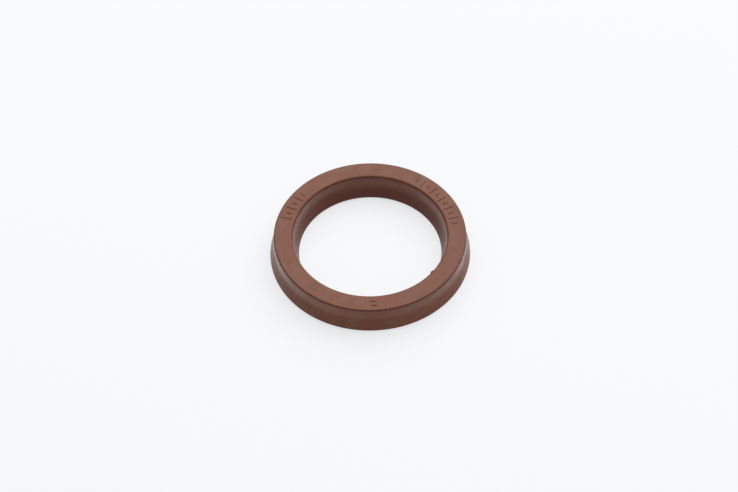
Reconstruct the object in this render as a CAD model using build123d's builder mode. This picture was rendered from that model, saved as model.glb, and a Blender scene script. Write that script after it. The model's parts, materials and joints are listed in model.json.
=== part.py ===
from build123d import *
import math
import os

# U cup seal for a rod running through a gland, moulded in one piece of brown fluorocarbon rubber.
# It lies on the tips of its two lips, as it comes to rest on a bench: the flat heel is on top, and
# the groove that the pressure spreads opens downwards.
# Millimetres, +Z up. The origin is on the seal's axis, level with the lip tips.

# The gland that the seal is made for.
rod_diameter = 32.0
section_width = 4.0  # radial depth of the gland, from the rod to its outer wall
seal_height = 6.0

# Heel: the solid ring that backs the lips.
heel_rod_clearance = 0.03  # radial, so that the rod runs free of the heel
heel_gland_bite = 0.10  # radial, so that the heel sits tight in the gland
heel_wall_height = 2.6  # straight walls, from the heel face down to the bend of the lips
heel_corner_radius = 0.3

# Lips: free, they reach past the gland's walls, and they are squeezed in when they are fitted.
inner_lip_bite = 1.05
outer_lip_bite = 1.0
lip_bend_radius = 2.0
lip_edge_height = 0.45  # sealing edges, above the tips
lip_edge_radius = 0.06
lip_tip_setback = 0.45  # run of the bevel that leads from a sealing edge back to its tip
lip_tip_radius = 0.12

# Groove between the lips.
groove_depth = 3.2
groove_root_radius = 0.9
groove_wall_angle = 22.0  # lean of each wall from the seal's axis, in degrees

# Radii that follow from the gland.
rod_radius = rod_diameter / 2
gland_radius = rod_radius + section_width
heel_inner_radius = rod_radius + heel_rod_clearance
heel_outer_radius = gland_radius + heel_gland_bite
inner_edge_radius = rod_radius - inner_lip_bite
outer_edge_radius = gland_radius + outer_lip_bite
groove_radius = rod_radius + section_width / 2

# Heights and widths that follow from the lips and the groove.
lip_bend_height = seal_height - heel_wall_height
groove_root_height = groove_depth - groove_root_radius
wall_angle = math.radians(groove_wall_angle)
groove_half_mouth = groove_root_radius / math.cos(wall_angle) + groove_root_height * math.tan(wall_angle)

# Two corners count as level within this.
level_tolerance = 0.001


def corners_at(sketch, height):
    """The corners of a section at one height, from the innermost to the outermost."""
    low = height - level_tolerance
    high = height + level_tolerance
    return sketch.vertices().filter_by_position(Axis.Y, low, high).sort_by(Axis.X)


def wall_corners_at(sketch, height):
    """The corner on the inner wall and the one on the outer wall, without those of the groove."""
    corners = corners_at(sketch, height)
    return [corners[0], corners[-1]]


# The section is drawn to the right of the axis: a heel, and two lips that flare away from it.
with BuildPart() as seal:
    with BuildSketch(Plane.XZ) as section:
        with BuildLine() as outline:
            groove_root = CenterArc(
                (groove_radius, groove_root_height),
                groove_root_radius,
                start_angle=groove_wall_angle,
                arc_size=180 - 2 * groove_wall_angle,
            )
            outer_side = Polyline(
                groove_root @ 0,
                (groove_radius + groove_half_mouth, 0),
                (outer_edge_radius - lip_tip_setback, 0),
                (outer_edge_radius, lip_edge_height),
                (heel_outer_radius, lip_bend_height),
                (heel_outer_radius, seal_height),
            )
            inner_side = Polyline(
                groove_root @ 1,
                (groove_radius - groove_half_mouth, 0),
                (inner_edge_radius + lip_tip_setback, 0),
                (inner_edge_radius, lip_edge_height),
                (heel_inner_radius, lip_bend_height),
                (heel_inner_radius, seal_height),
            )
            heel_face = Line(outer_side @ 1, inner_side @ 1)
        make_face()
        fillet(corners_at(section, 0), lip_tip_radius)
        fillet(wall_corners_at(section, lip_edge_height), lip_edge_radius)
        fillet(wall_corners_at(section, lip_bend_height), lip_bend_radius)
        fillet(corners_at(section, seal_height), heel_corner_radius)
    revolve(axis=Axis.Z)

seal.part.label = "seal"

os.makedirs("parts", exist_ok=True)
export_step(seal.part, "parts/seal.step")
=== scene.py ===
import json
import math

import bmesh
import bpy
from bpy.props import (
    FloatProperty,
    FloatVectorProperty,
    IntProperty,
    PointerProperty,
)
from mathutils import Matrix, Vector


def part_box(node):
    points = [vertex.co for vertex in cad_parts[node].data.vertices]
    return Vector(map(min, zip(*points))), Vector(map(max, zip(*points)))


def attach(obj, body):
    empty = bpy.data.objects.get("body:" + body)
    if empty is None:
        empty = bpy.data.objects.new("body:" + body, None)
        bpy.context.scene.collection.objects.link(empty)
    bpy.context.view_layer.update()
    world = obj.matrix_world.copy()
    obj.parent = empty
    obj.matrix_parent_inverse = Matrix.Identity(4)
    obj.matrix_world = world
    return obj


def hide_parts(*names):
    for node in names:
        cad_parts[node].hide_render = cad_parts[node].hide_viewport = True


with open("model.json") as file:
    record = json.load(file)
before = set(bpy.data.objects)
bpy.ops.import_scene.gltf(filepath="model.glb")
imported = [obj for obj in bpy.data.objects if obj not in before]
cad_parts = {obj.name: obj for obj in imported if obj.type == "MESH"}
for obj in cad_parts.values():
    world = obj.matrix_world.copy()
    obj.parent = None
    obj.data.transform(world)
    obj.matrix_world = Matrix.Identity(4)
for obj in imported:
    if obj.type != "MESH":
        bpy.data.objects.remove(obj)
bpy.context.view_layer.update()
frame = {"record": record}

bl_info = {
    "name": "U Cup Seal",
    "version": (1, 0, 0),
    "blender": (4, 5, 0),
    "location": "3D View > Sidebar > U Cup Seal",
    "description": "Moulds a brown rubber U cup seal with raised heel marks, and sets its stage",
    "category": "Object",
}

MM = 0.001
SEAL_NAME = "u_cup_seal"

# The seal's own sizes that the frame gives: its height, and the radii of its two straight heel walls.
SEAL_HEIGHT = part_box("seal")[1].z
MOUNTS = {mount["name"]: mount for mount in frame["record"]["mounts"]}
HEEL_INNER_RADIUS = MOUNTS["rod_bore"]["dims"]["r_mm"] * MM
HEEL_OUTER_RADIUS = MOUNTS["gland_seat"]["dims"]["r_mm"] * MM

# The groups of bars on the heel: the angle of each group's middle, and how many bars it has. As with
# the dashes and the dust below, the angle is in degrees, from the front towards the right.
BAR_GROUPS = ((-117.5, 6), (122.2, 11))

# A pair of dashes along the ring, near the front, marks the mould's datum.
DATUM_ANGLE = 1.6
DATUM_GAP = 1.05 * MM

# A bar's upright edges are rounded by a share of half its width, and its top by a share of its rise.
BAR_END_SHARE = 0.92
BAR_TOP_SHARE = 0.25

# The flash nib: how far it is sunk in the wall, how far it stands below and above its middle, how its
# free end is scaled and about which point to the left, and the rounding of its free edges.
NIB_SUNK = 0.25 * MM
NIB_BELOW = 0.1 * MM
NIB_ABOVE = 0.08 * MM
NIB_TAPER = (0.5, 1.0, 0.7)
NIB_LEAN = 0.15 * MM
NIB_ROUNDING = 0.03 * MM

# The ball that bites the nick: how far it lies into the wall, as a share of its radius, how far under
# the heel face, and how it is scaled.
NICK_INSET = 0.4
NICK_DEPTH = 0.12 * MM
NICK_SHAPE = (1.3, 1.0, 0.8)

# Specks of dust on the inner wall: angle, height in millimetres, and reach in millimetres.
DUST = ((-159.2, 4.1, 0.26), (-157.3, 3.4, 0.2), (-164.8, 4.6, 0.14))

# Steps of the groove's round root, and of each rounded corner from a tip up to its bend and at the heel.
ROOT_STEPS = 24
LIP_STEPS = [5, 5, 4, 8]
HEEL_STEPS = [8, 8]

# Points closer than this are the same point.
SAME_POINT = 0.002 * MM

# Faces that meet at less than this angle are shaded smooth, and large faces lead the shading.
SMOOTH_ANGLE = math.radians(35.0)
FACE_WEIGHT = 80

# The rubber's mottling: the share of the clouds against the fine speckle, the stretches of noise over
# which the paler and the redder rubber come in, and how much of the redder rubber comes in at most.
CLOUD_SHARE = 0.75
PALE_STRETCH = (0.36, 0.64)
RED_STRETCH = (0.45, 0.65)
RED_MOST = 0.8

# Stretches in millimetres over which the painted shade on the inner lip and at the heel's corners fades.
# The inner lip's are counted from the height of its bend and from the heel's middle radius, and the
# corners' from the seal's top and the heel's walls.
LIP_BEND_STRETCH = (-1.4, 0.6)
LIP_MIDDLE_STRETCH = (-1.2, -0.6)
CORNER_TOP_STRETCH = (-0.8, -0.4)
CORNER_WALL_STRETCH = (-0.4, -0.18)

# A speck of dust is whole out to this share of its reach, and fades from there.
DUST_CORE = 0.4

# The skin's relief: the share of the grain against the turning marks, how much a step up a wall counts
# for the marks against a step outward, and the depth.
GRAIN_SHARE = 0.6
RING_CLIMB = 1.3
RELIEF_DEPTH = 0.02 * MM

# The finish: how far the roughness swings with the clouds, over which stretch of their noise, and the
# roughness of the sheen.
ROUGHNESS_SWING = 0.05
ROUGHNESS_STRETCH = (0.35, 0.65)
SHEEN_ROUGHNESS = 0.3

# The floor lies a hair under the lip tips, so that the two never share a plane.
FLOOR_SIZE = 6.0
FLOOR_GAP = 0.01 * MM

# How far the line of sight passes to the left of the heel face's centre, and below it.
CAMERA_LEFT = 0.237 * MM
CAMERA_DOWN = 2.363 * MM
SENSOR_WIDTH = 36.0


class SealSection(bpy.types.PropertyGroup):
    """Sizes of the turned section: a heel on top, and two lips that flare away below it."""

    heel_inner_radius: FloatProperty(
        name="Heel inner radius", description="Straight wall that the rod runs clear of",
        default=HEEL_INNER_RADIUS, unit="LENGTH", subtype="DISTANCE", precision=5)
    heel_outer_radius: FloatProperty(
        name="Heel outer radius", description="Straight wall that fills the gland",
        default=HEEL_OUTER_RADIUS, unit="LENGTH", subtype="DISTANCE", precision=5)
    height: FloatProperty(
        name="Height", description="From the lip tips to the top of the heel marks",
        default=SEAL_HEIGHT, unit="LENGTH", subtype="DISTANCE", precision=5)
    inner_edge_radius: FloatProperty(
        name="Inner sealing edge", description="Radius of the free inner lip at its edge",
        default=14.95 * MM, unit="LENGTH", subtype="DISTANCE", precision=5)
    outer_edge_radius: FloatProperty(
        name="Outer sealing edge", description="Radius of the free outer lip at its edge",
        default=21.0 * MM, unit="LENGTH", subtype="DISTANCE", precision=5)
    edge_height: FloatProperty(
        name="Edge height", description="Sealing edges, above the lip tips",
        default=0.45 * MM, unit="LENGTH", subtype="DISTANCE", precision=5)
    tip_setback: FloatProperty(
        name="Tip setback", description="Run of the bevel from a sealing edge back to its tip",
        default=0.45 * MM, unit="LENGTH", subtype="DISTANCE", precision=5)
    outer_bend_height: FloatProperty(
        name="Outer bend height", description="Where the outer wall bends into its lip",
        default=2.9 * MM, unit="LENGTH", subtype="DISTANCE", precision=5)
    inner_bend_height: FloatProperty(
        name="Inner bend height", description="Where the inner wall bends into its lip",
        default=3.2 * MM, unit="LENGTH", subtype="DISTANCE", precision=5)
    bend_radius: FloatProperty(
        name="Bend radius", description="Soft bend between heel wall and lip",
        default=3.0 * MM, unit="LENGTH", subtype="DISTANCE", precision=5)
    groove_depth: FloatProperty(
        name="Groove depth", description="From the lip tips to the root of the groove",
        default=3.2 * MM, unit="LENGTH", subtype="DISTANCE", precision=5)
    root_radius: FloatProperty(
        name="Root radius", description="Round root of the groove",
        default=0.9 * MM, unit="LENGTH", subtype="DISTANCE", precision=5)
    groove_angle: FloatProperty(
        name="Groove angle", description="Lean of each groove wall from the axis",
        default=math.radians(22.0), unit="ROTATION", subtype="ANGLE")
    outer_corner_radius: FloatProperty(
        name="Outer heel corner", description="Rounding of the heel's outer corner",
        default=0.36 * MM, unit="LENGTH", subtype="DISTANCE", precision=5)
    inner_corner_radius: FloatProperty(
        name="Inner heel corner", description="Rounding of the heel's inner corner",
        default=0.6 * MM, unit="LENGTH", subtype="DISTANCE", precision=5)
    edge_radius: FloatProperty(
        name="Edge radius", description="Rounding of the sealing edges",
        default=0.06 * MM, unit="LENGTH", subtype="DISTANCE", precision=5)
    tip_radius: FloatProperty(
        name="Tip radius", description="Rounding of the lip tips",
        default=0.12 * MM, unit="LENGTH", subtype="DISTANCE", precision=5)
    turns: IntProperty(
        name="Steps", description="Steps of the section round the axis",
        default=240, min=24, max=720)


class SealMarks(bpy.types.PropertyGroup):
    """Raised mould marks on the heel face: plain index bars in three places."""

    rise: FloatProperty(
        name="Rise", description="How far the marks stand above the heel face",
        default=0.13 * MM, unit="LENGTH", subtype="DISTANCE", precision=5)
    stroke: FloatProperty(
        name="Stroke", description="Width of a bar at its foot",
        default=0.34 * MM, unit="LENGTH", subtype="DISTANCE", precision=5)
    long_bar: FloatProperty(
        name="Long bar", description="Length of a long bar along the radius",
        default=2.4 * MM, unit="LENGTH", subtype="DISTANCE", precision=5)
    short_bar: FloatProperty(
        name="Short bar", description="Length of a short bar along the radius",
        default=1.3 * MM, unit="LENGTH", subtype="DISTANCE", precision=5)
    pitch: FloatProperty(
        name="Pitch", description="Angle from one bar to the next",
        default=math.radians(4.6), unit="ROTATION", subtype="ANGLE")
    foot: FloatProperty(
        name="Foot", description="How far a bar reaches down into the heel",
        default=0.3 * MM, unit="LENGTH", subtype="DISTANCE", precision=5)
    draft: FloatProperty(
        name="Draft", description="Width of a bar's top as a share of its foot",
        default=0.84, min=0.2, max=1.0, subtype="FACTOR")


class MouldFlaws(bpy.types.PropertyGroup):
    """What the mould left on the inner edge of the heel: a nib of flash and a small nick."""

    nib_angle: FloatProperty(
        name="Nib angle", description="Place of the nib, to the right of the front",
        default=math.radians(51.8), unit="ROTATION", subtype="ANGLE")
    nib_reach: FloatProperty(
        name="Nib reach", description="How far the nib stands out from the inner wall",
        default=0.13 * MM, unit="LENGTH", subtype="DISTANCE", precision=5)
    nib_width: FloatProperty(
        name="Nib width", description="Length of the nib along the edge",
        default=1.15 * MM, unit="LENGTH", subtype="DISTANCE", precision=5)
    nick_angle: FloatProperty(
        name="Nick angle", description="Place of the nick, to the right of the front",
        default=math.radians(-136.6), unit="ROTATION", subtype="ANGLE")
    nick_radius: FloatProperty(
        name="Nick radius", description="Radius of the bite out of the edge",
        default=0.24 * MM, unit="LENGTH", subtype="DISTANCE", precision=5)


class RubberLook(bpy.types.PropertyGroup):
    """Colours and finish of the moulded rubber, with painted shade on the inner lip and at the heel's
    corners.
    """

    base: FloatVectorProperty(
        name="Rubber", description="Colour of the rubber",
        default=(0.185, 0.059, 0.028), size=3, min=0.0, max=1.0, subtype="COLOR")
    pale: FloatVectorProperty(
        name="Pale rubber", description="Colour where the compound is a little paler",
        default=(0.220, 0.080, 0.040), size=3, min=0.0, max=1.0, subtype="COLOR")
    red: FloatVectorProperty(
        name="Red rubber", description="Colour where the compound is a little redder",
        default=(0.202, 0.053, 0.026), size=3, min=0.0, max=1.0, subtype="COLOR")
    # The inner lip colour is painted shade: it makes the inner wall darker and redder towards the lip's
    # edge.
    lip: FloatVectorProperty(
        name="Inner lip", description="Colour of the inner lip, darker and redder than the heel",
        default=(0.142, 0.034, 0.016), size=3, min=0.0, max=1.0, subtype="COLOR")
    # The corner colour and its strength are painted shade: a dark, redder band along the heel's two
    # rounded corners.
    corner: FloatVectorProperty(
        name="Corner skin", description="Colour of the skin at the heel's two corners",
        default=(0.10, 0.026, 0.013), size=3, min=0.0, max=1.0, subtype="COLOR")
    corner_shade_share: FloatProperty(
        name="Corner strength", description="How much of the rubber the corner skin hides",
        default=0.6, min=0.0, max=1.0, subtype="FACTOR")
    dust: FloatVectorProperty(
        name="Dust", description="Colour of the dust on the inner wall",
        default=(0.42, 0.33, 0.27), size=3, min=0.0, max=1.0, subtype="COLOR")
    dust_share: FloatProperty(
        name="Dust strength", description="How much of the rubber a speck of dust hides",
        default=0.5, min=0.0, max=1.0, subtype="FACTOR")
    roughness: FloatProperty(
        name="Roughness", description="Roughness of the moulded skin",
        default=0.28, min=0.0, max=1.0, subtype="FACTOR")
    ior: FloatProperty(
        name="IOR", description="Index of refraction of fluorocarbon rubber",
        default=1.35, min=1.0, max=2.0)
    cloud_scale: FloatProperty(
        name="Clouds", description="Colour clouds for each millimetre",
        default=0.4, min=0.01, max=10.0)
    drift_scale: FloatProperty(
        name="Drift", description="Drifts of redder compound for each millimetre",
        default=0.16, min=0.01, max=10.0)
    speckle_scale: FloatProperty(
        name="Speckle", description="Fine spots of colour for each millimetre",
        default=2.2, min=0.01, max=50.0)
    grain_scale: FloatProperty(
        name="Grain", description="Grains of the skin for each millimetre",
        default=6.0, min=0.01, max=50.0)
    ring_scale: FloatProperty(
        name="Turning marks", description="Turning marks of the mould for each millimetre",
        default=5.0, min=0.01, max=50.0)
    bump: FloatProperty(
        name="Skin depth", description="Strength of the grain and the turning marks",
        default=0.05, min=0.0, max=1.0, subtype="FACTOR")
    sheen: FloatProperty(
        name="Sheen", description="Pale bloom seen along the surface",
        default=0.12, min=0.0, max=1.0, subtype="FACTOR")


class StageLook(bpy.types.PropertyGroup):
    """Floor, light and camera."""

    floor: FloatVectorProperty(
        name="Floor", description="Colour of the floor",
        default=(0.93, 0.945, 0.965), size=3, min=0.0, max=1.0, subtype="COLOR")
    white: FloatVectorProperty(
        name="White", description="Colour of the background and of the room's light",
        default=(0.956, 0.966, 0.982), size=3, min=0.0, max=1.0, subtype="COLOR")
    floor_white: FloatProperty(
        name="Plain white in the floor", description="Share of plain white that softens the shadow",
        default=0.7, min=0.0, max=1.0, subtype="FACTOR")
    room_light: FloatProperty(
        name="Room light", description="Strength of the light from all round",
        default=0.3, min=0.0, max=2.0)
    backdrop_top: FloatProperty(
        name="Backdrop top", description="Sine of the angle where the white backdrop has faded",
        default=0.35, min=0.01, max=1.0)
    lamp_elevation: FloatProperty(
        name="Softbox elevation", description="Height of the softbox as an angle",
        default=math.radians(58.0), unit="ROTATION", subtype="ANGLE")
    lamp_azimuth: FloatProperty(
        name="Softbox azimuth", description="Turn of the softbox to the right of straight behind",
        default=math.radians(20.0), unit="ROTATION", subtype="ANGLE")
    lamp_distance: FloatProperty(
        name="Softbox distance", description="From the seal to the softbox",
        default=1.0, unit="LENGTH", subtype="DISTANCE")
    lamp_size: FloatProperty(
        name="Softbox size", description="Diameter of the softbox",
        default=1.5, unit="LENGTH", subtype="DISTANCE")
    lamp_power: FloatProperty(
        name="Softbox power", description="Power of the softbox in watts",
        default=12.4, min=0.0, max=100.0)
    camera_elevation: FloatProperty(
        name="Camera elevation", description="Height of the camera as an angle",
        default=math.radians(50.43), unit="ROTATION", subtype="ANGLE")
    camera_distance: FloatProperty(
        name="Camera distance", description="From the camera to the heel face's centre",
        default=450.0 * MM, unit="LENGTH", subtype="DISTANCE")
    camera_roll: FloatProperty(
        name="Camera roll", description="Turn of the camera about its own line of sight",
        default=math.radians(0.94), unit="ROTATION", subtype="ANGLE")
    lens: FloatProperty(
        name="Lens", description="Focal length in millimetres on a 36 mm sensor",
        default=105.4, min=10.0, max=300.0)


def deselect_all():
    """Leaves edit mode and clears the selection."""
    if bpy.context.object is not None and bpy.context.object.mode != "OBJECT":
        bpy.ops.object.mode_set(mode="OBJECT")
    bpy.ops.object.select_all(action="DESELECT")


def choose(piece):
    """Makes one object the only selected one, and the active one."""
    deselect_all()
    piece.select_set(True)
    bpy.context.view_layer.objects.active = piece


def settle(piece):
    """Puts the place, turn and scale of an object into its mesh."""
    choose(piece)
    bpy.ops.object.transform_apply(location=True, rotation=True, scale=True)


def open_edges(piece):
    """How many edges of a piece's mesh don't lie between exactly two faces."""
    mesh = bmesh.new()
    mesh.from_mesh(piece.data)
    count = sum(len(edge.link_faces) != 2 for edge in mesh.edges)
    mesh.free()
    return count


def select_points(test):
    """Selects the vertices in edit mode whose place passes the test."""
    mesh = bmesh.from_edit_mesh(bpy.context.object.data)
    for vertex in mesh.verts:
        vertex.select_set(bool(test(vertex.co)))
    mesh.select_flush_mode()
    bmesh.update_edit_mesh(bpy.context.object.data)


class Pen:
    """Draws a chain of edges in the XZ plane by extruding its last vertex, as by hand."""

    def __init__(self, name, x, z):
        deselect_all()
        bpy.ops.mesh.primitive_plane_add(size=MM, location=(x, 0.0, z))
        bpy.context.object.name = name
        settle(bpy.context.object)
        bpy.context.tool_settings.mesh_select_mode = (True, False, False)
        bpy.ops.object.mode_set(mode="EDIT")
        bpy.ops.mesh.select_all(action="SELECT")
        bpy.ops.mesh.merge(type="CENTER")
        self.x = x
        self.z = z

    def line_to(self, x, z):
        """Extrudes the last vertex to a place."""
        bpy.ops.mesh.extrude_vertices_move(
            TRANSFORM_OT_translate={"value": (x - self.x, 0.0, z - self.z)})
        self.x = x
        self.z = z

    def arc_about(self, x, z, angle, steps):
        """Turns the last vertex about a centre, anticlockwise for a positive angle."""
        bpy.ops.mesh.spin(steps=steps, angle=angle, center=(x, 0.0, z), axis=(0.0, 1.0, 0.0))
        arm = Matrix.Rotation(angle, 2) @ Vector((self.x - x, self.z - z))
        self.x = x + arm.x
        self.z = z + arm.y


def round_corner(x, z, radius, turn, segments):
    """Bevels the chain's corner at a place to a radius. turn is how much the chain turns there."""
    spot = Vector((x, 0.0, z))
    select_points(lambda co: (co - spot).length < SAME_POINT)
    bpy.ops.mesh.bevel(
        offset_type="OFFSET", offset=radius * math.tan(turn / 2), segments=segments,
        profile=0.5, affect="VERTICES")


def turn_at(before, corner, after):
    """Angle by which a chain turns at a corner between two other corners."""
    first = Vector(corner) - Vector(before)
    second = Vector(after) - Vector(corner)
    return first.angle(second)


def trace_section(section, face_height):
    """Draws the closed outline of the section, to the right of the axis."""
    groove_radius = (section.heel_inner_radius + section.heel_outer_radius) / 2
    angle = section.groove_angle
    root_height = section.groove_depth - section.root_radius
    half_mouth = section.root_radius / math.cos(angle) + root_height * math.tan(angle)
    root_reach = section.root_radius * math.cos(angle)
    root_end = root_height + section.root_radius * math.sin(angle)
    root_inner = (groove_radius - root_reach, root_end)
    root_outer = (groove_radius + root_reach, root_end)

    outer = [
        (groove_radius + half_mouth, 0.0),
        (section.outer_edge_radius - section.tip_setback, 0.0),
        (section.outer_edge_radius, section.edge_height),
        (section.heel_outer_radius, section.outer_bend_height),
        (section.heel_outer_radius, face_height),
    ]
    inner = [
        (section.heel_inner_radius, face_height),
        (section.heel_inner_radius, section.inner_bend_height),
        (section.inner_edge_radius, section.edge_height),
        (section.inner_edge_radius + section.tip_setback, 0.0),
        (groove_radius - half_mouth, 0.0),
    ]
    lip_radii = [section.tip_radius, section.tip_radius, section.edge_radius, section.bend_radius]
    heel_radii = [section.outer_corner_radius, section.inner_corner_radius]
    radii = lip_radii + heel_radii + lip_radii[::-1]
    segments = LIP_STEPS + HEEL_STEPS + LIP_STEPS[::-1]

    pen = Pen(SEAL_NAME, *root_inner)
    pen.arc_about(groove_radius, root_height, -(math.pi - 2 * angle), ROOT_STEPS)
    corners = outer + inner
    for corner in corners:
        pen.line_to(*corner)
    pen.line_to(*root_inner)
    bpy.ops.mesh.select_all(action="SELECT")
    bpy.ops.mesh.remove_doubles(threshold=SAME_POINT)

    chain = [root_outer, *corners, root_inner]
    for index, corner in enumerate(corners):
        turn = turn_at(chain[index], corner, chain[index + 2])
        round_corner(*corner, radii[index], turn, segments[index])


def spin_ring(steps):
    """Turns the traced outline once round the axis."""
    bpy.ops.mesh.select_all(action="SELECT")
    bpy.ops.mesh.spin(
        steps=steps, angle=2 * math.pi, center=(0.0, 0.0, 0.0), axis=(0.0, 0.0, 1.0),
        use_auto_merge=True)
    bpy.ops.mesh.select_all(action="SELECT")
    bpy.ops.mesh.remove_doubles(threshold=SAME_POINT)
    bpy.ops.mesh.normals_make_consistent(inside=False)
    bpy.ops.object.mode_set(mode="OBJECT")


class UCUP_OT_mould_ring(bpy.types.Operator):
    """Traces the seal's section and turns it round the axis"""

    bl_idname = "u_cup.mould_ring"
    bl_label = "Mould the ring"
    bl_options = {"REGISTER", "UNDO"}

    def execute(self, context):
        section = context.scene.seal_section
        trace_section(section, section.height - context.scene.seal_marks.rise)
        spin_ring(section.turns)
        if open_edges(context.object):
            raise RuntimeError("the ring is not closed")
        return {"FINISHED"}


def around(piece, angle):
    """Turns a piece about the seal's axis, from the front towards the right, into its mesh."""
    choose(piece)
    piece.rotation_euler = (0.0, 0.0, angle)
    settle(piece)


def unite(seal, other, operation):
    """Joins another closed piece to the seal, or cuts it out, and clears it away."""
    choose(seal)
    cut = seal.modifiers.new("join", "BOOLEAN")
    cut.operation = operation
    cut.solver = "EXACT"
    cut.object = other
    bpy.ops.object.modifier_apply(modifier=cut.name)
    bpy.data.objects.remove(other, do_unlink=True)
    if open_edges(seal):
        raise RuntimeError("the seal is no longer closed")


def block(name, low, high):
    """A box between two corners, left in edit mode with nothing selected."""
    deselect_all()
    middle = (Vector(low) + Vector(high)) / 2
    bpy.ops.mesh.primitive_cube_add(size=1.0, location=middle)
    piece = bpy.context.object
    piece.name = name
    piece.scale = Vector(high) - Vector(low)
    settle(piece)
    bpy.ops.object.mode_set(mode="EDIT")
    bpy.ops.mesh.select_all(action="DESELECT")
    return piece


def select_edges(test):
    """Selects the edges in edit mode whose two ends pass the test."""
    bpy.context.tool_settings.mesh_select_mode = (False, True, False)
    mesh = bmesh.from_edit_mesh(bpy.context.object.data)
    for edge in mesh.edges:
        edge.select_set(bool(test(edge.verts[0].co, edge.verts[1].co)))
    mesh.select_flush_mode()
    bmesh.update_edit_mesh(bpy.context.object.data)


def index_bar(name, marks, length, face_height, radius):
    """One raised bar at the front of the heel: round ends, drafted sides and a softened top."""
    half = marks.stroke / 2
    top = face_height + marks.rise
    bar = block(name, (-half, -radius - length / 2, face_height - marks.foot),
                (half, -radius + length / 2, top))
    select_edges(lambda a, b: abs(a.z - b.z) > SAME_POINT)
    bpy.ops.mesh.bevel(offset=half * BAR_END_SHARE, segments=5, affect="EDGES")
    select_points(lambda co: co.z > top - SAME_POINT)
    end_draft = 1.0 - (1.0 - marks.draft) * marks.stroke / length
    bpy.ops.transform.resize(value=(marks.draft, end_draft, 1.0), center_override=(0.0, -radius, top))
    select_edges(lambda a, b: min(a.z, b.z) > top - SAME_POINT)
    bpy.ops.mesh.bevel(offset=marks.rise * BAR_TOP_SHARE, segments=2, affect="EDGES")
    bpy.ops.object.mode_set(mode="OBJECT")
    return bar


def lay_across(bar, radius, new_radius):
    """Turns a bar at the front to lie along the ring, and moves it to another radius."""
    choose(bar)
    bar.location = (0.0, radius, 0.0)
    settle(bar)
    bar.rotation_euler = (0.0, 0.0, math.pi / 2)
    settle(bar)
    bar.location = (0.0, -new_radius, 0.0)
    settle(bar)


class UCUP_OT_index_bars(bpy.types.Operator):
    """Raises the plain index bars and the datum dashes on the heel"""

    bl_idname = "u_cup.index_bars"
    bl_label = "Raise the index bars"
    bl_options = {"REGISTER", "UNDO"}

    def execute(self, context):
        section = context.scene.seal_section
        marks = context.scene.seal_marks
        seal = bpy.data.objects[SEAL_NAME]
        face_height = section.height - marks.rise
        radius = (section.heel_inner_radius + section.heel_outer_radius) / 2
        patterns = {
            "long": index_bar("long_bar", marks, marks.long_bar, face_height, radius),
            "short": index_bar("short_bar", marks, marks.short_bar, face_height, radius),
        }
        bars = []
        for middle, count in BAR_GROUPS:
            for step in range(count):
                kind = "long" if (step - count // 2) % 2 == 0 else "short"
                choose(patterns[kind])
                bpy.ops.object.duplicate()
                bar = bpy.context.object
                around(bar, math.radians(middle) + (step - (count - 1) / 2) * marks.pitch)
                bars.append(bar)
        for side in (-1, 1):
            choose(patterns["short"])
            bpy.ops.object.duplicate()
            dash = bpy.context.object
            lay_across(dash, radius, radius + side * DATUM_GAP / 2)
            around(dash, math.radians(DATUM_ANGLE))
            bars.append(dash)
        deselect_all()
        for bar in bars:
            bar.select_set(True)
        bpy.context.view_layer.objects.active = bars[0]
        bpy.ops.object.join()
        for pattern in patterns.values():
            bpy.data.objects.remove(pattern, do_unlink=True)
        unite(seal, bars[0], "UNION")
        return {"FINISHED"}


def flash_nib(flaws, wall, middle):
    """The nib on a wall of this radius: a thin tongue that narrows to one side."""
    half = flaws.nib_width / 2
    free_end = -wall + flaws.nib_reach
    nib = block("flash_nib", (-half, -wall - NIB_SUNK, middle - NIB_BELOW),
                (half, free_end, middle + NIB_ABOVE))
    select_points(lambda co: co.y > free_end - SAME_POINT)
    bpy.ops.transform.resize(value=NIB_TAPER, center_override=(-NIB_LEAN, free_end, middle))
    select_edges(lambda a, b: max(a.y, b.y) > free_end - SAME_POINT)
    bpy.ops.mesh.bevel(offset=NIB_ROUNDING, segments=2, affect="EDGES")
    bpy.ops.object.mode_set(mode="OBJECT")
    around(nib, flaws.nib_angle)
    return nib


def nick_ball(flaws, wall, face_height):
    """The ball that bites the nick out of the edge of a wall of this radius."""
    deselect_all()
    bpy.ops.mesh.primitive_ico_sphere_add(
        subdivisions=2, radius=flaws.nick_radius,
        location=(0.0, -wall - flaws.nick_radius * NICK_INSET, face_height - NICK_DEPTH),
        scale=NICK_SHAPE)
    ball = bpy.context.object
    ball.name = "nick_ball"
    settle(ball)
    around(ball, flaws.nick_angle)
    return ball


class UCUP_OT_mould_flaws(bpy.types.Operator):
    """Leaves a nib of flash and a small nick on the inner edge of the heel"""

    bl_idname = "u_cup.mould_flaws"
    bl_label = "Leave the mould's flaws"
    bl_options = {"REGISTER", "UNDO"}

    def execute(self, context):
        section = context.scene.seal_section
        flaws = context.scene.mould_flaws
        seal = bpy.data.objects[SEAL_NAME]
        face_height = section.height - context.scene.seal_marks.rise
        wall = section.heel_inner_radius
        unite(seal, flash_nib(flaws, wall, face_height - section.inner_corner_radius / 2), "UNION")
        unite(seal, nick_ball(flaws, wall, face_height), "DIFFERENCE")
        return {"FINISHED"}


class UCUP_OT_shade(bpy.types.Operator):
    """Shades the rounded edges smooth and keeps the flats flat"""

    bl_idname = "u_cup.shade"
    bl_label = "Smooth the shading"
    bl_options = {"REGISTER", "UNDO"}

    def execute(self, context):
        seal = bpy.data.objects[SEAL_NAME]
        choose(seal)
        bpy.ops.object.shade_smooth_by_angle(angle=SMOOTH_ANGLE)
        weigh = seal.modifiers.new("weigh", "WEIGHTED_NORMAL")
        weigh.keep_sharp = True
        weigh.weight = FACE_WEIGHT
        bpy.ops.object.modifier_apply(modifier=weigh.name)
        return {"FINISHED"}


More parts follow.
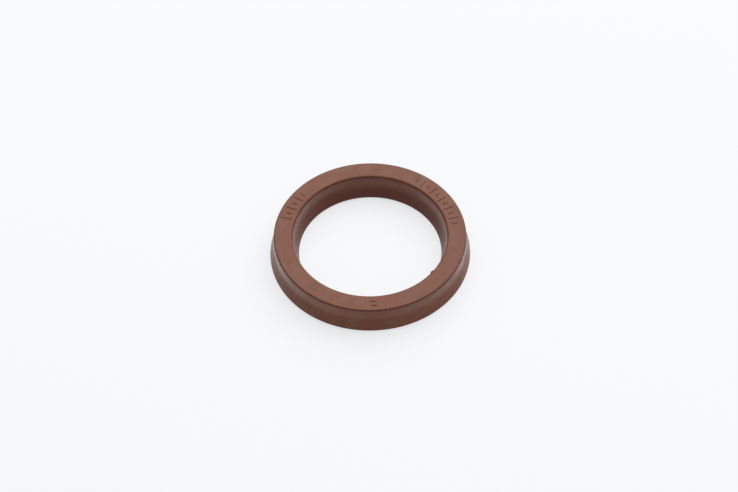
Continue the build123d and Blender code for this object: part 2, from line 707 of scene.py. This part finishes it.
class UCUP_OT_rubber(bpy.types.Operator):
    """Gives the seal its brown rubber"""

    bl_idname = "u_cup.rubber"
    bl_label = "Give it its rubber"
    bl_options = {"REGISTER", "UNDO"}

    def execute(self, context):
        seal = bpy.data.objects[SEAL_NAME]
        seal.data.materials.clear()
        seal.data.materials.append(brown_rubber(context.scene.rubber_look, context.scene.seal_section))
        return {"FINISHED"}


class Nodes:
    """Builds a material's nodes, one call for each."""

    def __init__(self, tree):
        self.tree = tree

    def add(self, kind, settings=None, **sockets):
        """Adds a node. A socket is named with _ for each space, and takes another socket or a value."""
        node = self.tree.nodes.new(kind)
        for name, value in (settings or {}).items():
            setattr(node, name, value)
        for name, value in sockets.items():
            self.feed(node.inputs[name.replace("_", " ")], value)
        return node

    def feed(self, socket, value):
        """Links another socket to this one, or sets its value."""
        if isinstance(value, bpy.types.NodeSocket):
            self.tree.links.new(value, socket)
        else:
            socket.default_value = value

    def maths(self, operation, first, second=0.0):
        """One operation on two numbers."""
        node = self.tree.nodes.new("ShaderNodeMath")
        node.operation = operation
        self.feed(node.inputs[0], first)
        self.feed(node.inputs[1], second)
        return node.outputs[0]

    def noise(self, place, scale, detail, roughness):
        """Noise from 0 to 1."""
        return self.add("ShaderNodeTexNoise", Vector=place, Scale=scale, Detail=detail,
                        Roughness=roughness).outputs["Fac"]

    def fade(self, value, low, high, from_low, from_high):
        """Goes from low to high while the value goes from from_low to from_high."""
        node = self.add("ShaderNodeMapRange", Value=value, From_Min=from_low, From_Max=from_high,
                        To_Min=low, To_Max=high)
        return node.outputs["Result"]

    def mix(self, share, first, second):
        """Mixes two colours. A Mix node's colour sockets are its inputs 6 and 7, and its output 2."""
        node = self.tree.nodes.new("ShaderNodeMix")
        node.data_type = "RGBA"
        self.feed(node.inputs[0], share)
        self.feed(node.inputs[6], first)
        self.feed(node.inputs[7], second)
        return node.outputs[2]

    def mix_shaders(self, share, first, second, output):
        """Mixes the shaders of two nodes into the surface of an output node."""
        node = self.add("ShaderNodeMixShader")
        for socket, value in zip(node.inputs, (share, first.outputs[0], second.outputs[0])):
            self.feed(socket, value)
        self.feed(output.inputs["Surface"], node.outputs[0])

    def seen_directly(self):
        """1 for rays from the camera, a reflection or a clear body, and 0 for light."""
        path = self.add("ShaderNodeLightPath")
        total = path.outputs["Is Camera Ray"]
        for name in ("Is Glossy Ray", "Is Transmission Ray"):
            total = self.maths("MAXIMUM", total, path.outputs[name])
        return total


def wall_point(section, angle, height):
    """A place on the straight inner wall, in millimetres, from an angle and a height."""
    radius = section.heel_inner_radius / MM
    return (radius * math.sin(angle), -radius * math.cos(angle), height)


def counted_from(datum, stretch):
    """A stretch whose two ends are counted from a datum."""
    return [datum + end for end in stretch]


def mottled(make, look, place, clouds):
    """Brown with paler clouds some millimetres wide, a fine speckle, and broad redder drifts."""
    speckle = make.noise(place, look.speckle_scale, detail=2.0, roughness=0.6)
    blend = make.maths("ADD", make.maths("MULTIPLY", clouds, CLOUD_SHARE),
                       make.maths("MULTIPLY", speckle, 1.0 - CLOUD_SHARE))
    colour = make.mix(make.fade(blend, 0.0, 1.0, *PALE_STRETCH), (*look.base, 1.0), (*look.pale, 1.0))
    drift = make.noise(place, look.drift_scale, detail=2.0, roughness=0.5)
    return make.mix(make.fade(drift, 0.0, RED_MOST, *RED_STRETCH), colour, (*look.red, 1.0))


def paint_lip_shade(make, look, section, colour, radius, height):
    """Paints shade on the inner lip: darkens and reddens it, from a little above its bend down to its
    edge.
    """
    middle = (section.heel_inner_radius + section.heel_outer_radius) / (2 * MM)
    bend = section.inner_bend_height / MM
    below = make.fade(height, 1.0, 0.0, *counted_from(bend, LIP_BEND_STRETCH))
    inside = make.fade(radius, 1.0, 0.0, *counted_from(middle, LIP_MIDDLE_STRETCH))
    return make.mix(make.maths("MULTIPLY", below, inside), colour, (*look.lip, 1.0))


def paint_corner_shade(make, look, section, colour, radius, height):
    """Paints shade at the heel's two corners: a darker, redder band along them."""
    middle = (section.heel_inner_radius + section.heel_outer_radius) / (2 * MM)
    half = (section.heel_outer_radius - section.heel_inner_radius) / (2 * MM)
    top = section.height / MM
    high = make.fade(height, 0.0, look.corner_shade_share, *counted_from(top, CORNER_TOP_STRETCH))
    offset = make.maths("ABSOLUTE", make.maths("SUBTRACT", radius, middle))
    beside = make.fade(offset, 0.0, 1.0, *counted_from(half, CORNER_WALL_STRETCH))
    return make.mix(make.maths("MULTIPLY", high, beside), colour, (*look.corner, 1.0))


def dusty(make, look, section, colour, place):
    """Lays the pale specks of dust on the inner wall."""
    for angle, height, reach in DUST:
        gap = make.add("ShaderNodeVectorMath", {"operation": "DISTANCE"})
        make.feed(gap.inputs[0], place)
        make.feed(gap.inputs[1], wall_point(section, math.radians(angle), height))
        share = make.fade(gap.outputs["Value"], look.dust_share, 0.0, reach * DUST_CORE, reach)
        colour = make.mix(share, colour, (*look.dust, 1.0))
    return colour


def skin_relief(make, look, place, radius, height):
    """A fine grain everywhere, and the rings that a turned mould leaves on faces and walls."""
    rings_along = make.maths("ADD", radius, make.maths("MULTIPLY", height, RING_CLIMB))
    rings = make.add("ShaderNodeTexNoise", {"noise_dimensions": "1D"}, W=rings_along,
                     Scale=look.ring_scale, Detail=2.0).outputs["Fac"]
    grain = make.noise(place, look.grain_scale, detail=3.0, roughness=0.6)
    relief = make.maths("ADD", make.maths("MULTIPLY", grain, GRAIN_SHARE),
                        make.maths("MULTIPLY", rings, 1.0 - GRAIN_SHARE))
    bump = make.add("ShaderNodeBump", Height=relief, Strength=look.bump, Distance=RELIEF_DEPTH)
    return bump.outputs["Normal"]


def brown_rubber(look, section):
    """Satin brown rubber: mottled, finely grained, with faint turning marks from the mould, and painted
    shade on the inner lip and at the heel's corners.
    """
    material = bpy.data.materials.new("brown_rubber")
    material.use_nodes = True
    make = Nodes(material.node_tree)
    shader = material.node_tree.nodes["Principled BSDF"]

    # The patterns are measured in millimetres.
    here = make.add("ShaderNodeTexCoord").outputs["Object"]
    place = make.add("ShaderNodeMapping", Vector=here, Scale=(1 / MM, 1 / MM, 1 / MM)).outputs["Vector"]
    apart = make.add("ShaderNodeSeparateXYZ", Vector=place)
    height = apart.outputs["Z"]
    across = make.maths("POWER", apart.outputs["X"], 2.0)
    along = make.maths("POWER", apart.outputs["Y"], 2.0)
    radius = make.maths("SQRT", make.maths("ADD", across, along))

    clouds = make.noise(place, look.cloud_scale, detail=4.0, roughness=0.55)
    colour = mottled(make, look, place, clouds)
    # Painted shade on the inner lip, then at the heel's two corners.
    colour = paint_lip_shade(make, look, section, colour, radius, height)
    colour = paint_corner_shade(make, look, section, colour, radius, height)
    colour = dusty(make, look, section, colour, place)
    make.feed(shader.inputs["Base Color"], colour)
    make.feed(shader.inputs["Normal"], skin_relief(make, look, place, radius, height))
    rougher = look.roughness + ROUGHNESS_SWING
    smoother = look.roughness - ROUGHNESS_SWING
    make.feed(shader.inputs["Roughness"], make.fade(clouds, rougher, smoother, *ROUGHNESS_STRETCH))
    shader.inputs["IOR"].default_value = look.ior
    shader.inputs["Sheen Weight"].default_value = look.sheen
    shader.inputs["Sheen Roughness"].default_value = SHEEN_ROUGHNESS
    return material


class UCUP_OT_stage(bpy.types.Operator):
    """Lays the floor, sets the light and places the camera"""

    bl_idname = "u_cup.stage"
    bl_label = "Set the stage"
    bl_options = {"REGISTER", "UNDO"}

    def execute(self, context):
        look = context.scene.stage_look
        lay_floor(look)
        light_room(look)
        hang_softbox(look)
        place_camera(look, context.scene.seal_section, context.scene.seal_marks)
        context.scene.view_settings.view_transform = "Standard"
        return {"FINISHED"}


def lay_floor(look):
    """A white floor that takes the seal's shadow, and shows it a little softened."""
    deselect_all()
    bpy.ops.mesh.primitive_plane_add(size=FLOOR_SIZE, location=(0.0, 0.0, -FLOOR_GAP))
    floor = bpy.context.object
    floor.name = "floor"
    material = bpy.data.materials.new("white_floor")
    material.use_nodes = True
    make = Nodes(material.node_tree)
    nodes = material.node_tree.nodes
    shader = nodes["Principled BSDF"]
    shader.inputs["Base Color"].default_value = (*look.floor, 1.0)
    shader.inputs["Roughness"].default_value = 1.0
    shader.inputs["Specular IOR Level"].default_value = 0.0
    white = make.add("ShaderNodeEmission", Color=(*look.white, 1.0))
    share = make.maths("MULTIPLY", make.seen_directly(), look.floor_white)
    make.mix_shaders(share, shader, white, nodes["Material Output"])
    floor.data.materials.append(material)


def light_room(look):
    """A dim white room, with a bright white backdrop round the horizon."""
    world = bpy.data.worlds.new("room")
    bpy.context.scene.world = world
    world.use_nodes = True
    make = Nodes(world.node_tree)
    nodes = world.node_tree.nodes
    room = nodes["Background"]
    room.inputs["Color"].default_value = (*look.white, 1.0)
    room.inputs["Strength"].default_value = look.room_light
    white = make.add("ShaderNodeBackground", Color=(*look.white, 1.0), Strength=1.0)

    way = make.add("ShaderNodeTexCoord").outputs["Generated"]
    height = make.add("ShaderNodeSeparateXYZ", Vector=way).outputs["Z"]
    backdrop = make.fade(height, 1.0, 0.0, look.backdrop_top / 2, look.backdrop_top)
    share = make.maths("MULTIPLY", backdrop, make.seen_directly())
    make.mix_shaders(share, room, white, nodes["World Output"])


def hang_softbox(look):
    """One large round softbox, behind and above the seal."""
    level = math.cos(look.lamp_elevation)
    way = Vector((level * math.sin(look.lamp_azimuth), level * math.cos(look.lamp_azimuth),
                  math.sin(look.lamp_elevation)))
    bpy.ops.object.light_add(type="AREA", location=way * look.lamp_distance)
    lamp = bpy.context.object
    lamp.name = "softbox"
    lamp.data.shape = "DISK"
    lamp.data.size = look.lamp_size
    lamp.data.energy = look.lamp_power
    lamp.rotation_euler = (-way).to_track_quat("-Z", "Y").to_euler()


def place_camera(look, section, marks):
    """Looks down at the heel from in front, past its centre by a little."""
    elevation = look.camera_elevation
    right = Vector((1.0, 0.0, 0.0))
    up = Vector((0.0, math.sin(elevation), math.cos(elevation)))
    back = Vector((0.0, -math.cos(elevation), math.sin(elevation)))
    face_centre = Vector((0.0, 0.0, section.height - marks.rise))
    place = face_centre + back * look.camera_distance - right * CAMERA_LEFT - up * CAMERA_DOWN
    camera = bpy.data.objects.new("camera", bpy.data.cameras.new("camera"))
    bpy.context.scene.collection.objects.link(camera)
    turn = Matrix((right, up, back)).transposed() @ Matrix.Rotation(-look.camera_roll, 3, "Z")
    camera.matrix_world = Matrix.Translation(place) @ turn.to_4x4()
    camera.data.lens = look.lens
    camera.data.sensor_width = SENSOR_WIDTH
    bpy.context.scene.camera = camera


class UCUP_PT_panel(bpy.types.Panel):
    """Lists the seal's sizes and the steps that make it"""

    bl_idname = "UCUP_PT_panel"
    bl_label = "U Cup Seal"
    bl_space_type = "VIEW_3D"
    bl_region_type = "UI"
    bl_category = "U Cup Seal"

    def draw(self, context):
        layout = self.layout
        for group in (getattr(context.scene, name) for name in GROUPS):
            box = layout.box()
            for name in group.bl_rna.properties.keys():
                if name not in {"rna_type", "name"}:
                    box.prop(group, name)
        for step in STEPS:
            layout.operator(step.bl_idname)


STEPS = (UCUP_OT_mould_ring, UCUP_OT_index_bars, UCUP_OT_mould_flaws, UCUP_OT_shade, UCUP_OT_rubber,
         UCUP_OT_stage)
GROUPS = {
    "seal_section": SealSection,
    "seal_marks": SealMarks,
    "mould_flaws": MouldFlaws,
    "rubber_look": RubberLook,
    "stage_look": StageLook,
}


def register():
    """Registers the property groups, the operators and the panel."""
    for kind in (*GROUPS.values(), *STEPS, UCUP_PT_panel):
        bpy.utils.register_class(kind)
    for name, group in GROUPS.items():
        setattr(bpy.types.Scene, name, PointerProperty(type=group))


def unregister():
    """Takes away what register put in place."""
    for name in reversed(GROUPS):
        delattr(bpy.types.Scene, name)
    for kind in reversed((*GROUPS.values(), *STEPS, UCUP_PT_panel)):
        bpy.utils.unregister_class(kind)


def main():
    """Makes the seal and its stage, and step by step."""
    register()
    bpy.ops.u_cup.mould_ring()
    bpy.ops.u_cup.index_bars()
    bpy.ops.u_cup.mould_flaws()
    bpy.ops.u_cup.shade()
    bpy.ops.u_cup.rubber()
    bpy.ops.u_cup.stage()
    seal = bpy.data.objects[SEAL_NAME]
    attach(seal, "root")
    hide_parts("seal")


if __name__ == "__main__":
    main()
